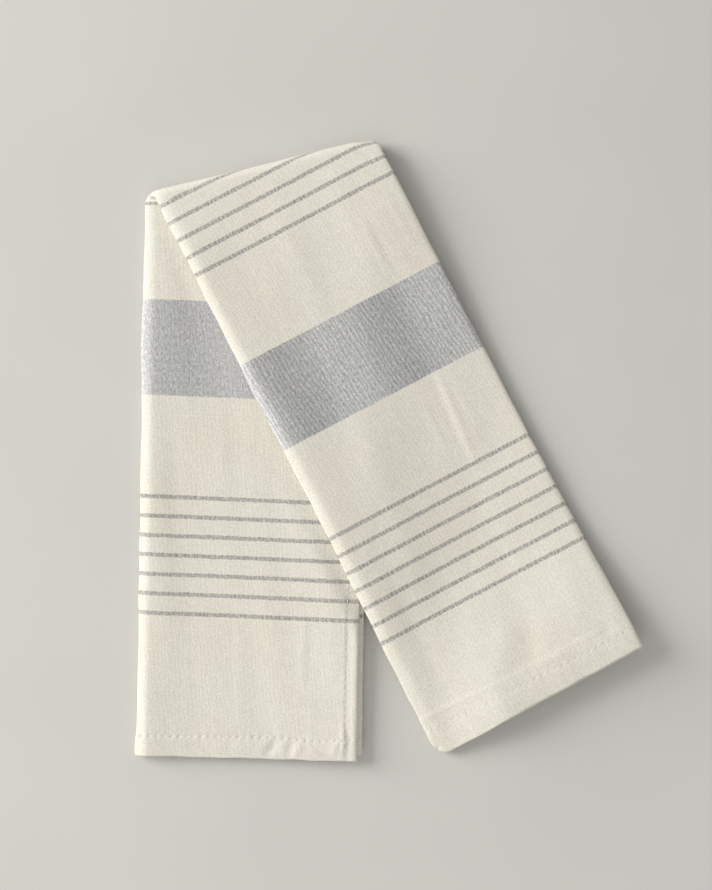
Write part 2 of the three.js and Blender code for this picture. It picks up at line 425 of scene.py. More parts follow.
# Long gentle waves of the cloth: size across, size along, phase, share.
WAVES = (
    (46.0, 130.0, 0.4, 1.0),
    (31.0, 210.0, 2.1, 0.7),
    (74.0, 58.0, 4.0, 0.8),
    (19.0, 170.0, 5.2, 0.4),
)


def colour(name, description, default):
    """A colour property with its defaults in linear values."""
    return bpy.props.FloatVectorProperty(
        name=name,
        description=description,
        default=default,
        size=4,
        min=0.0,
        max=1.0,
        subtype="COLOR",
    )


def length(name, description, millimetres):
    """A length property whose default is given in millimetres."""
    return bpy.props.FloatProperty(
        name=name,
        description=description,
        default=millimetres * MM,
        precision=5,
        unit="LENGTH",
        subtype="DISTANCE",
    )


def angle(name, description, degrees):
    """An angle property whose default is given in degrees."""
    return bpy.props.FloatProperty(
        name=name,
        description=description,
        default=math.radians(degrees),
        unit="ROTATION",
        subtype="ANGLE",
    )


class TowelSizes(bpy.types.PropertyGroup):
    """Sizes of the cloth and of the way that it is folded."""

    strip_width: length("Strip width", "Width of the cloth once folded in four", 129.4)
    strip_length: length("Cloth length", "Length of the flat cloth", 691.4)
    stack: length("Stack", "Height of the four layers as they lie", 4.9)
    cloth_thickness: length("Cloth thickness", "Thickness of the woven cloth", 0.62)
    hem_thickness: length("Hem thickness", "Thickness of the turned and sewn hem", 1.05)
    hem_rise: length("Hem rise", "How much each hem adds to the stack", 0.07)
    side_hem: length("Side hem", "Width of the hems on the long sides", 6.5)
    lower_hem: length("Lower hem", "Width of the hem at the lower end", 12.8)
    upper_hem: length("Upper hem", "Width of the hem at the upper end", 22.4)
    top_hem_inset: length("Top hem inset", "From the strip's right side to the top hem", 2.7)
    inner_hem_inset: length("Inner hem inset", "From the strip's right side to the inner hem", 0.1)
    right_inset: length("Right fold inset", "From the strip's right side to the fold under the hems", 1.6)
    left_reach: length("Left rounding", "How far in the left side's rounding reaches", 7.0)
    inner_left: length("Inner turn", "Where the inner layers turn on the left", 2.9)
    corner_x: length("Lower corner X", "Place of the strip's lower left corner", -144.31)
    corner_y: length("Lower corner Y", "Place of the strip's lower left corner", -175.43)
    fold_start: length("Fold start", "Where the slanting fold starts on the left side", 318.5)
    rest_height: length("Rest height", "Height at which the upper half lies on the lower", 5.65)
    fold_foot: length("Fold foot", "Width over which the upper half comes down at the fold", 88.0)
    lower_foot: length("Lower foot", "Width over which it comes down at the lower end", 46.0)
    end_lift: length("End lift", "How far the upper end curls up", 8.4)
    lift_length: length("Lift length", "Length of the curl at the upper end", 92.0)
    lift_from: length("Lift from", "Across the strip, where the curl starts", 0.0)
    lift_to: length("Lift to", "Across the strip, where the curl is full", 48.0)
    wave_height: length("Waves", "Height of the cloth's gentle waves", 0.10)
    groove_depth: length("Groove", "Depth of the groove along an end's line of stitches", 0.10)
    side_groove: length("Side groove", "Depth of the groove along the side hem's stitches", 0.18)
    unevenness: length("Unevenness", "How far the sides and ends wander", 0.16)
    corner_rounding: length("Corner rounding", "Rounding of the folded corner at the upper end", 6.2)
    fold_draw: length("Fold draw", "How far the fold is drawn in at its right end", 2.6)
    left_draw: length("Left draw", "How far the fold is drawn in on its left", 0.8)
    press: length("Press", "How far the lower half is pressed together under the upper half", 1.4)
    side_ridge: length("Side ridge", "Height of the full edge of the side hem", 0.55)
    side_lip: length("Side lip", "Height of the cloth's lip beside the side hem's stitches", 0.16)
    pucker_height: length("Puckers", "Height of the small puckers in a hem", 0.09)
    fold_slant: angle("Fold slant", "Slant of the fold across the strip", 14.2)
    lean: angle("Lean", "Lean of the lower half of the strip", 1.09)


class ClothLook(bpy.types.PropertyGroup):
    """Colours of the cloth and places of its stripes."""

    cream: colour("Cream", "Undyed yarn", (0.770, 0.735, 0.640, 1.0))
    stripe_grey: colour("Stripe grey", "Yarn of the thin stripes", (0.270, 0.255, 0.250, 1.0))
    band_grey: colour("Band grey", "Wide band of grey yarn across undyed yarn", (0.470, 0.465, 0.450, 1.0))
    warm: colour("Warm cast", "Warmer cast of the undyed yarn in places", (1.0, 0.975, 0.94, 1.0))
    thread: colour("Thread", "Sewing thread of the hems", (0.900, 0.880, 0.820, 1.0))
    stripe_pitch: length("Stripe pitch", "From one thin stripe to the next", 11.1)
    stripe_width: length("Stripe width", "Width of a thin stripe", 2.35)
    lower_stripes: length("Lower stripes", "First thin stripe of the lower group", 83.0)
    middle_stripes: length("Middle stripes", "First thin stripe of the middle group", 320.0)
    upper_stripes: length("Upper stripes", "First thin stripe of the upper group", 555.0)
    lower_band: length("Lower band", "Start of the lower band", 207.6)
    upper_band: length("Upper band", "Start of the upper band", 443.6)
    band_width: length("Band width", "Width of a band along the cloth", 54.6)
    rib_pitch: length("Rib pitch", "From one rib of the weave to the next", 2.42)
    bead_pitch: length("Bead pitch", "From one bead of a rib to the next", 2.0)
    stitch_pitch: length("Stitch pitch", "From one stitch to the next", 4.25)
    stitch_length: length("Stitch length", "Length of thread that shows in a stitch", 2.9)
    thread_width: length("Thread width", "Width of the sewing thread", 0.42)
    weft_skew: angle("Weft skew", "How far the weft runs off square on the lower half", 1.3)
    upper_skew: angle("Upper skew", "How far the weft runs off square on the upper half", 0.45)
    rib_slant: bpy.props.FloatProperty(
        name="Rib slant",
        description="How far a rib drifts across for each length along the cloth",
        default=0.114,
    )
    # Painted sheen: how much lighter and darker the band is painted across the strip.
    band_painted_sheen: bpy.props.FloatProperty(
        name="Band light",
        description="How much lighter and darker the band's shot weave turns",
        default=0.13,
        min=0.0,
        max=1.0,
    )
    stripe_count: bpy.props.IntProperty(
        name="Stripe count",
        description="Thin stripes in each group",
        default=7,
        min=1,
    )
    stitch_seed: bpy.props.IntProperty(
        name="Stitch seed",
        description="Seed of the stitches' small differences",
        default=4,
    )


class StageLook(bpy.types.PropertyGroup):
    """Floor, light and camera."""

    floor: colour("Floor", "Pale floor", (0.660, 0.642, 0.598, 1.0))
    floor_size: length("Floor size", "Side of the square floor", 4000.0)
    key_distance: length("Key distance", "From the towel to the key light", 2600.0)
    key_size: length("Key size", "Side of the key light's square", 1500.0)
    low_distance: length("Low light distance", "From the towel to the light from below the picture", 1300.0)
    low_size: length("Low light size", "Side of that light's square", 900.0)
    camera_height: length("Camera height", "Height of the camera above the floor", 1100.0)
    view_x: length("View X", "Place under the middle of the picture", -17.95)
    view_y: length("View Y", "Place under the middle of the picture", 3.07)
    view_side: length("View side", "Length of floor along the picture's long side", 511.75)
    key_turn: angle("Key turn", "Direction of the key light around the towel", 163.0)
    key_height: angle("Key height", "Height of the key light above the floor", 23.5)
    low_turn: angle("Low light turn", "Direction of the light from below the picture", 262.0)
    low_height: angle("Low light height", "Height of that light above the floor", 48.0)
    key_power: bpy.props.FloatProperty(
        name="Key power",
        description="Power of the key light",
        default=74.0,
        min=0.0,
        unit="POWER",
    )
    low_power: bpy.props.FloatProperty(
        name="Low light power",
        description="Power of the light from below the picture",
        default=2.2,
        min=0.0,
        unit="POWER",
    )
    fill: bpy.props.FloatProperty(
        name="Fill",
        description="Strength of the even light from all around",
        default=0.43,
        min=0.0,
    )


def in_millimetres(group):
    """The group's values by name, with every length in millimetres."""
    values = {}
    for name in group.__annotations__:
        value = getattr(group, name)
        is_length = group.bl_rna.properties[name].unit == "LENGTH"
        values[name] = value / MM if is_length else value
    return SimpleNamespace(**values)


def smoothstep(value, low, high):
    """Rises from 0 at low to 1 at high with flat ends."""
    share = np.clip((value - low) / (high - low), 0.0, 1.0)
    return share * share * (3.0 - 2.0 * share)


def bell(distance, width):
    """A smooth bump, 1 at no distance."""
    return np.exp(-((distance / width) ** 2))


def spaced(start, stop, step):
    """Even places from start to stop about a step apart, both ends left out."""
    cells = max(int(round(abs(stop - start) / step)), 1)
    return np.linspace(start, stop, cells + 1)[1:-1]


def wobble(place, step, drift, drift_step):
    """An uneven wave, whose phase drifts to and fro."""
    return np.sin(place / step + drift * np.sin(place / drift_step))


def crease_relief(across, along, creases):
    """Height of all creases of a half of the strip."""
    relief = np.zeros_like(across)
    for crease in creases:
        start = np.array(crease.start)
        line = np.array(crease.end) - start
        share = ((across - start[0]) * line[0] + (along - start[1]) * line[1]) / line.dot(line)
        share = np.clip(share, 0.0, 1.0)
        away = np.hypot(across - start[0] - share * line[0], along - start[1] - share * line[1])
        strength = np.sin(np.pi * share) ** CREASE_SWELL
        relief += crease.height * strength * bell(away, crease.width)
    return relief


def mound_relief(across, along, mounds):
    """Height of all mounds of a half of the strip."""
    relief = np.zeros_like(across)
    for mound in mounds:
        over = (across - mound.place[0]) / mound.reach[0]
        up = (along - mound.place[1]) / mound.reach[1]
        relief += mound.height * np.exp(-(over**2) - up**2)
    return relief


def bead_relief(across, along, beads, crest, rise, fall):
    """A full rounded side: it rises to a crest, then falls away over its own width."""
    height = np.interp(along, [bead.along for bead in beads], [bead.height for bead in beads])
    return height * bell(across - crest, np.where(across < crest, rise, fall))


def stitch_wander(across):
    """How far the lower line of stitches wanders off its row."""
    return np.interp(across, WANDER_ACROSS, WANDER)


def wave_relief(across, along, height):
    """Long gentle waves of cloth that was folded away and opened again."""
    relief = np.zeros_like(across)
    for size_across, size_along, phase, share in WAVES:
        turn = 2.0 * np.pi * (across / size_across + along / size_along) + phase
        relief += share * height * np.sin(turn)
    return relief


class FoldedCloth:
    """The cloth as two grids of points, laid down in its folds, in millimetres."""

    def __init__(self, size, look):
        self.size = size
        self.look = look
        self.slant_sin = math.sin(size.fold_slant)
        self.slant_cos = math.cos(size.fold_slant)
        self.slant_tan = math.tan(size.fold_slant)
        self.bend = math.pi * (size.stack + size.rest_height) / 2.0
        self.plan_section()
        self.plan_rows()
        self.place_points()

    def plan_section(self):
        """Columns of the sheet, from the top layer's side hem to the hem just under it."""
        size = self.size
        pitch = (size.stack - size.cloth_thickness) / (LAYER_COUNT - 1)
        turn = pitch / 2.0
        right = size.strip_width - turn - size.cloth_thickness / 2.0
        top_hem = size.strip_width - size.top_hem_inset
        inner_hem = size.strip_width - size.inner_hem_inset
        hem_columns = np.array(SIDE_HEM_COLUMNS)
        in_top_hem = top_hem - hem_columns
        in_inner_hem = inner_hem - hem_columns
        left = [size.left_reach]
        inner_left = [size.inner_left]
        top = np.concatenate([in_top_hem, spaced(in_top_hem[-1], size.left_reach, TOP_STEP), left])
        bottom = np.concatenate([left, spaced(size.left_reach, right, BOTTOM_STEP), [right]])
        second = np.concatenate([[right], spaced(right, size.inner_left, HIDDEN_STEP), inner_left])
        inwards = spaced(size.inner_left, in_inner_hem[-1], HIDDEN_STEP)
        third = np.concatenate([inner_left, inwards, in_inner_hem[::-1]])
        outer = np.linspace(np.pi / 2, -np.pi / 2, OUTER_TURN_STEPS + 1)[1:-1]
        inner = np.linspace(-np.pi / 2, np.pi / 2, INNER_TURN_STEPS + 1)[1:-1]
        half = 1.5 * pitch
        columns = []
        columns += [(x, TOP, TOP, 0.0, 0.0, 1.0) for x in top]
        for theta in outer:
            steep = np.hypot(half * np.cos(theta), size.left_reach * np.sin(theta))
            columns.append(
                (
                    size.left_reach * (1.0 - np.cos(theta)) + size.cloth_thickness / 2.0 * np.cos(theta),
                    TOP,
                    BOTTOM,
                    (1.0 - np.sin(theta)) / 2.0,
                    -half * np.cos(theta) / steep,
                    size.left_reach * np.sin(theta) / steep,
                )
            )
        columns += [(x, BOTTOM, BOTTOM, 0.0, 0.0, -1.0) for x in bottom]
        for theta in inner:
            share = (1.0 + np.sin(theta)) / 2.0
            place = right + turn * np.cos(theta)
            columns.append((place, BOTTOM, SECOND, share, np.cos(theta), np.sin(theta)))
        columns += [(x, SECOND, SECOND, 0.0, 0.0, 1.0) for x in second]
        for theta in inner:
            share = (1.0 + np.sin(theta)) / 2.0
            place = size.inner_left - turn * np.cos(theta)
            columns.append((place, SECOND, THIRD, share, np.cos(theta), -np.sin(theta)))
        columns += [(x, THIRD, THIRD, 0.0, 0.0, -1.0) for x in third]
        table = np.array(columns)
        self.across = table[:, 0]
        self.layer_from = table[:, 1].astype(int)
        self.layer_to = table[:, 2].astype(int)
        self.layer_share = table[:, 3]
        self.out_across = table[:, 4]
        self.out_up = table[:, 5]
        heights = pitch * ((1.0 - self.layer_share) * self.layer_from + self.layer_share * self.layer_to)
        steps = np.hypot(np.diff(self.across), np.diff(heights))
        self.flat_across = np.concatenate([[0.0], np.cumsum(steps)])
        self.flat_width = self.flat_across[-1]
        self.plan_end_shifts(len(top), len(bottom), len(second))
        self.stitch_columns = [
            SIDE_HEM_COLUMNS.index(SIDE_STITCH_LINE),
            len(table) - 1 - SIDE_HEM_COLUMNS.index(SIDE_STITCH_LINE),
        ]
        self.from_edge = np.full(len(table), FAR_FROM_EDGE)
        self.from_edge[: len(top)] = top_hem - top
        self.from_edge[-len(third) :] = inner_hem - third
        self.side_hem_edge = {TOP: top_hem, THIRD: inner_hem}

    def plan_end_shifts(self, top, bottom, second):
        """How far each column's ends stand out beyond the strip."""
        outer_turn = OUTER_TURN_STEPS - 1
        inner_turn = INNER_TURN_STEPS - 1
        outer_fold = top + outer_turn // 2
        right_fold = top + outer_turn + bottom + inner_turn // 2
        inner_fold = top + outer_turn + bottom + inner_turn + second + inner_turn // 2
        marks = [0, outer_fold, right_fold, inner_fold, len(self.across) - 1]
        places = self.flat_across[marks]
        self.fold_across = places[1]
        lower = [shift.lower for shift in END_SHIFTS.values()]
        upper = [shift.upper for shift in END_SHIFTS.values()]
        self.lower_shift = np.interp(self.flat_across, places, lower)
        self.upper_shift = np.interp(self.flat_across, places, upper)
        self.upper_shift += (self.layer_to == BOTTOM) * np.interp(self.across, BULGE_ACROSS, BULGE)

    def plan_rows(self):
        """Rows of the sheet, from the lower end to the upper end, and how much each slants."""
        size = self.size
        bend_end = size.fold_start + self.bend / self.slant_cos
        lower_start = LOWER_HEM_ROWS[-1]
        upper_end = size.strip_length - UPPER_HEM_ROWS[0]
        lower = spaced(lower_start, size.fold_start, ROW_STEP)
        bend = np.linspace(size.fold_start, bend_end, BEND_ROWS + 1)
        upper = spaced(bend_end, upper_end, ROW_STEP)
        lower_hem = np.array(LOWER_HEM_ROWS)
        upper_hem = size.strip_length - np.array(UPPER_HEM_ROWS)
        self.row_along = np.concatenate([lower_hem, lower, bend, upper, upper_hem])
        lower_slant = np.clip((self.row_along - lower_start) / (size.fold_start - lower_start), 0.0, 1.0)
        upper_slant = np.clip((upper_end - self.row_along) / (upper_end - bend_end), 0.0, 1.0)
        self.row_slant = np.minimum(lower_slant, upper_slant)
        self.stitch_rows = [
            LOWER_HEM_ROWS.index(LOWER_STITCH_LINE),
            len(self.row_along) - len(UPPER_HEM_ROWS) + UPPER_HEM_ROWS.index(UPPER_STITCH_LINE),
        ]

    def hem_share(self, layer, across, along):
        """1 inside a hem of the layer, 0 outside it."""
        size = self.size
        depth = np.maximum(size.lower_hem - along, along - (size.strip_length - size.upper_hem))
        if layer in self.side_hem_edge:
            depth = np.maximum(depth, across - (self.side_hem_edge[layer] - size.side_hem))
        return smoothstep(depth, 0.0, HEM_SLOPE)

    def layer_middles(self, across, along):
        """Thickness and height of every layer's middle, and the height of the whole stack."""
        size = self.size
        shares = [self.hem_share(layer, across, along) for layer in range(LAYER_COUNT)]
        stack = size.stack + size.hem_rise * sum(shares)
        extra = size.hem_thickness - size.cloth_thickness
        thick = [size.cloth_thickness + share * extra for share in shares]
        gap = (stack - sum(thick)) / (LAYER_COUNT - 1)
        middles = []
        below = np.zeros_like(across)
        for layer in range(LAYER_COUNT):
            middles.append(below + thick[layer] / 2.0)
            below = below + thick[layer] + gap
        return np.stack(thick), np.stack(middles), stack

    def edge_taper(self, along):
        """How much of its thickness the cloth has close to an edge, where it rounds off."""
        to_end = np.minimum(along, self.size.strip_length - along)
        nearest = np.minimum(to_end, self.from_edge[None, :])
        rounding = np.clip(nearest / EDGE_ROUNDING, 0.0, 1.0)
        return EDGE_LEAST + (1.0 - EDGE_LEAST) * np.sqrt(1.0 - (1.0 - rounding) ** 2)

    def place_points(self):
        """Places of both faces of the cloth, and the cloth's own flat coordinates."""
        size = self.size
        across = np.broadcast_to(self.across, (len(self.row_along), len(self.across)))
        along = self.row_along[:, None] + self.row_slant[:, None] * self.slant_tan * across
        across = across - self.tuck(across)
        thick, middles, stack = self.layer_middles(across, along)
        columns = np.arange(len(self.across))
        middle_from = middles[self.layer_from, :, columns].T
        middle_to = middles[self.layer_to, :, columns].T
        middle = (1.0 - self.layer_share) * middle_from + self.layer_share * middle_to
        middle = middle + self.close_up(across, middles, thick)
        half = thick[self.layer_from, :, columns].T / 2.0 * self.edge_taper(along)
        lower_fade = 1.0 - smoothstep(self.row_along, 0.0, SHIFT_FADE)[:, None]
        upper_fade = 1.0 - smoothstep(size.strip_length - self.row_along, 0.0, SHIFT_FADE)[:, None]
        shifted = along - lower_fade * self.lower_shift + upper_fade * self.upper_shift
        left, right = self.side_growth()
        spread = 1.0 + (left + right) / size.strip_width
        shifted = shifted + (upper_fade - lower_fade) * self.end_unevenness(across)
        on_top = (self.layer_from == TOP) & (self.layer_to == TOP)
        sewn = bell(self.row_along - LOWER_STITCH_LINE, WANDER_REACH)
        shifted = shifted + on_top * sewn[:, None] * stitch_wander(across)
        self.faces = []
        for side in (1.0, -1.0):
            face_across = across + side * half * self.out_across
            face_height = middle + side * half * self.out_up
            face_along = shifted + self.row_slant[:, None] * self.slant_tan * (face_across - across)
            spread_across, rounded_along = self.round_corner(face_across * spread - left, face_along)
            self.faces.append(self.lay_down(spread_across, rounded_along, face_height, stack))
        self.flat_along = along

    def tuck(self, across):
        """How far the right fold draws back under the hems of the lower half."""
        size = self.size
        on_fold = np.minimum(self.layer_from, self.layer_to) <= BOTTOM
        on_fold = on_fold | ((self.layer_from == SECOND) & (self.layer_to == SECOND))
        lower = 1.0 - smoothstep(self.row_along, size.fold_start - TUCK_FADE, size.fold_start)
        near = smoothstep(across, size.strip_width - TUCK_REACH, size.strip_width)
        return size.right_inset * on_fold[None, :] * lower[:, None] * near

    def close_up(self, across, middles, thick):
        """How far the inner hem comes up under the top hem on the lower half."""
        size = self.size
        gap = middles[TOP] - middles[THIRD] - (thick[TOP] + thick[THIRD]) / 2.0
        inner = (self.layer_from == THIRD) & (self.layer_to == THIRD)
        lower = 1.0 - smoothstep(self.row_along, size.fold_start - TUCK_FADE, size.fold_start)
        near = smoothstep(across, size.strip_width - TUCK_REACH, size.strip_width - CLOSE_WITHIN)
        return HEM_CLOSENESS * gap * inner[None, :] * lower[:, None] * near

    def side_growth(self):
        """How far each row's left and right side stand out, a little unevenly."""
        places = [side.along for side in SIDES]
        uneven = self.size.unevenness * wobble(self.row_along, *SIDE_WOBBLE)
        left = np.interp(self.row_along, places, [side.left for side in SIDES]) + uneven
        right = np.interp(self.row_along, places, [side.right for side in SIDES]) + RIGHT_WOBBLE * uneven
        return left[:, None], right[:, None]

    def end_unevenness(self, across):
        """How far a sewn end wanders off its straight line."""
        fine = FINE_WOBBLE * np.sin(across / FINE_WOBBLE_STEP + FINE_WOBBLE_PHASE)
        return self.size.unevenness * (wobble(across, *END_WOBBLE) + fine)

    def round_corner(self, across, along):
        """Rounds the folded corner of the upper end, as a square is drawn in to a disc."""
        inside = (self.layer_from == SECOND) | (self.layer_from == THIRD)
        reach = self.size.corner_rounding + INNER_ROUNDING * inside[None, :]
        to_side = np.clip(reach - across, 0.0, None)
        to_end = np.clip(reach - (self.size.strip_length - along), 0.0, None)
        farthest = np.maximum(np.hypot(to_side, to_end), 0.001)
        draw = np.where((to_side > 0.0) & (to_end > 0.0), np.maximum(to_side, to_end) / farthest, 1.0)
        return across + to_side * (1.0 - draw), along - to_end * (1.0 - draw)

    def lower_relief(self, across, along, out, along_fold):
        """Relief of the lower half's top, kept low where the upper half lies on it."""
        size = self.size
        relief = crease_relief(across, along, LOWER_CREASES)
        relief += mound_relief(across, along, LOWER_MOUNDS)
        relief += bead_relief(across, along, LOWER_LEFT, LEFT_CREST, LEFT_RISE, LEFT_FALL)
        relief += bead_relief(across, along, LOWER_RIGHT, LOWER_RIGHT_CREST, RIGHT_RISE, RIGHT_FALL)
        relief += wave_relief(across, along, size.wave_height)
        side_line = self.side_hem_edge[TOP] - SIDE_STITCH_LINE
        off_line = along - LOWER_STITCH_LINE - stitch_wander(across)
        relief -= size.groove_depth * bell(off_line, GROOVE_WIDTH)
        seam = smoothstep(along, *SEAM_FADE)
        relief -= size.side_groove * seam * bell(across - side_line, SIDE_GROOVE_WIDTH)
        relief += size.side_ridge * bell(across - self.side_hem_edge[TOP] + SIDE_RIDGE, SIDE_RIDGE_WIDTH)
        relief += size.side_lip * bell(across - side_line + SIDE_LIP, SIDE_LIP_WIDTH)
        pucker = wobble(across, *END_PUCKERS)
        relief += size.pucker_height * pucker * bell(off_line, PUCKER_REACH)
        side_pucker = wobble(along, *SIDE_PUCKERS)
        relief += size.pucker_height * side_pucker * bell(across - side_line, PUCKER_REACH)
        over_upper = along_fold * self.slant_cos - (self.bend - out) * self.slant_sin
        covered = smoothstep(over_upper, -COVER_FADE, COVER_END)
        pressed = size.press * smoothstep(over_upper, *PRESS_EDGE) * smoothstep(-out, *PRESS_FROM_TO)
        return relief * (1.0 - covered) * smoothstep(-out, 0.0, RELIEF_FADE) - pressed

    def upper_relief(self, across, along, past):
        """Relief of the upper half's top."""
        size = self.size
        relief = crease_relief(across, along, UPPER_CREASES)
        relief += mound_relief(across, along, UPPER_MOUNDS)
        relief += bead_relief(across, along, UPPER_LEFT, LEFT_CREST, LEFT_RISE, LEFT_FALL)
        relief += bead_relief(across, along, UPPER_RIGHT, UPPER_RIGHT_CREST, RIGHT_RISE, RIGHT_FALL)
        relief += wave_relief(across, along, size.wave_height)
        stitch_line = size.strip_length - UPPER_STITCH_LINE
        relief -= size.groove_depth * bell(along - stitch_line, GROOVE_WIDTH)
        pucker = UPPER_PUCKERS * wobble(across, *END_PUCKERS)
        relief += size.pucker_height * pucker * bell(along - stitch_line, PUCKER_REACH)
        return relief * smoothstep(past, 0.0, RELIEF_FADE)

    def support(self, ground_across, ground_along):
        """Height of what the upper half lies on."""
        size = self.size
        down = np.clip(1.0 - ground_along / size.fold_start, 0.0, 1.0)
        foot = size.fold_foot + (size.lower_foot - size.fold_foot) * down
        share = np.clip((ground_across - size.strip_width) / foot, 0.0, 1.0)
        away = (size.fold_start - ground_along) * self.slant_cos + ground_across * self.slant_sin
        rest_height = size.rest_height - size.press * smoothstep(away, *PRESS_FROM_TO)
        return rest_height * (1.0 - (share + smoothstep(share, 0.0, 1.0)) / 2.0)

    def lay_down(self, across, along, height, stack):
        """Lays points of the strip down: the lower half as it is, the rest turned over on the fold."""
        size = self.size
        centre = (stack + size.rest_height) / 2.0
        radius = centre - height
        beyond = (along - size.fold_start) * self.slant_cos - across * self.slant_sin
        along_fold = (along - size.fold_start) * self.slant_sin + across * self.slant_cos
        turn = np.clip(beyond / self.bend, 0.0, 1.0) * np.pi
        past = np.maximum(beyond - self.bend, 0.0)
        before = np.minimum(beyond, 0.0)
        draw = size.fold_draw * smoothstep(along_fold, *FOLD_DRAW_FROM_TO)
        draw = draw + size.left_draw * (1.0 - smoothstep(along_fold, *LEFT_DRAW_FROM_TO))
        out = before + radius * np.sin(turn) - past - draw * bell(beyond - self.bend / 2.0, FOLD_DRAW_REACH)
        flat_across = along_fold * self.slant_cos - out * self.slant_sin
        flat_along = along_fold * self.slant_sin + out * self.slant_cos + size.fold_start
        into_curl = np.maximum(1.0 - (size.strip_length - along) / size.lift_length, 0.0)
        curl = smoothstep(into_curl, 0.0, 1.0) * smoothstep(across, size.lift_from, size.lift_to)
        lift = size.end_lift * curl
        lower = height * (1.0 + self.lower_relief(across, along, before, along_fold) / stack)
        upper_depth = (stack - height) * (1.0 + self.upper_relief(across, along, past) / stack)
        upper = self.support(flat_across, flat_along) + lift + upper_depth
        bent = centre - radius * np.cos(turn)
        up = np.where(past > 0.0, upper, np.where(beyond < 0.0, lower, bent))
        lean_sin = math.sin(size.lean)
        lean_cos = math.cos(size.lean)
        x = size.corner_x + lean_cos * flat_across + lean_sin * flat_along
        y = size.corner_y - lean_sin * flat_across + lean_cos * flat_along
        return np.stack([x, y, up], axis=-1)

    def pattern_map(self):
        """The cloth's own coordinates from 0 to 1, with the weft running a little off square."""
        size = self.size
        on_top = np.where(self.layer_from == TOP, np.clip(self.across, 0.0, None), 0.0)
        fade = 1.0 - smoothstep(self.flat_along, SKEW_FADE * size.fold_start, size.fold_start)
        skewed = self.flat_along + math.tan(self.look.weft_skew) * on_top[None, :] * fade
        on_bottom = np.where(self.layer_to == BOTTOM, np.clip(self.across, 0.0, None), 0.0)
        rise = smoothstep(self.flat_along, size.fold_start, SKEW_FULL * size.fold_start)
        skewed = skewed + math.tan(self.look.upper_skew) * on_bottom[None, :] * rise
        skewed = skewed + np.interp(self.flat_along, TAKE_UP_ALONG, TAKE_UP)
        near_fold = bell(self.flat_across - self.fold_across, TIGHT_REACH)
        skewed = skewed + near_fold * np.interp(self.flat_along, TIGHT_ALONG, TIGHT)
        across = np.broadcast_to(self.flat_across / self.flat_width, skewed.shape)
        return across, skewed / size.strip_length


def cloth_mesh(cloth):
    """A closed mesh of the cloth: outer face, inner face and the rim between them."""
    outer, inner = cloth.faces
    rows, columns = cloth.flat_along.shape
    places = np.concatenate([outer.reshape(-1, 3), inner.reshape(-1, 3)]) * MM
    number = np.arange(rows * columns).reshape(rows, columns)
    below = number + rows * columns

    def quads(first, second, third, fourth):
        return np.stack([first.ravel(), second.ravel(), third.ravel(), fourth.ravel()], axis=1)

    faces = [
        quads(number[:-1, :-1], number[1:, :-1], number[1:, 1:], number[:-1, 1:]),
        quads(below[:-1, :-1], below[:-1, 1:], below[1:, 1:], below[1:, :-1]),
        quads(number[:-1, 0], below[:-1, 0], below[1:, 0], number[1:, 0]),
        quads(number[1:, -1], below[1:, -1], below[:-1, -1], number[:-1, -1]),
        quads(number[0, 1:], below[0, 1:], below[0, :-1], number[0, :-1]),
        quads(number[-1, :-1], below[-1, :-1], below[-1, 1:], number[-1, 1:]),
    ]
    corners = np.concatenate(faces)
    mesh = bpy.data.meshes.new(CLOTH_PIECE)
    mesh.from_pydata(places.tolist(), [], corners.tolist())
    mesh.polygons.foreach_set("use_smooth", np.ones(len(corners), dtype=bool))
    loops = corners.ravel()
    across, along = cloth.pattern_map()
    maps = {}
    for name, map_along in ((CLOTH_MAP, along), (SEWING_MAP, cloth.flat_along / cloth.size.strip_length)):
        one_face = np.stack([across.ravel(), map_along.ravel()], axis=1)
        maps[name] = np.concatenate([one_face, one_face])[loops]
    maps[BAKE_MAP] = bake_map(cloth, len(faces[0]) + len(faces[1]), corners)
    for name, places in maps.items():
        mesh.uv_layers.new(name=name).data.foreach_set("uv", places.astype(np.float32).ravel())
    mesh.validate()
    mesh.update()
    return mesh


def bake_map(cloth, flat_faces, corners):
    """A map with both faces side by side and the rim as narrow strips round the first."""
    rows, columns = cloth.flat_along.shape
    across = np.broadcast_to(cloth.flat_across / cloth.flat_width, (rows, columns))
    along = cloth.flat_along / cloth.size.strip_length
    width = 0.5 - 2.0 * BAKE_MARGIN
    height = 1.0 - 2.0 * BAKE_MARGIN
    outer = np.stack([BAKE_MARGIN + width * across, BAKE_MARGIN + height * along], axis=-1)
    inner = outer + np.array([0.5, 0.0])
    beyond = outer.copy()
    beyond[:, 0, 0] -= BAKE_RIM
    beyond[:, -1, 0] += BAKE_RIM
    beyond[0, :, 1] -= BAKE_RIM
    beyond[-1, :, 1] += BAKE_RIM
    face_table = np.concatenate([outer.reshape(-1, 2), inner.reshape(-1, 2)])
    rim_table = np.concatenate([outer.reshape(-1, 2), beyond.reshape(-1, 2)])
    on_faces = face_table[corners[:flat_faces].ravel()]
    on_rim = rim_table[corners[flat_faces:].ravel()]
    return np.concatenate([on_faces, on_rim])


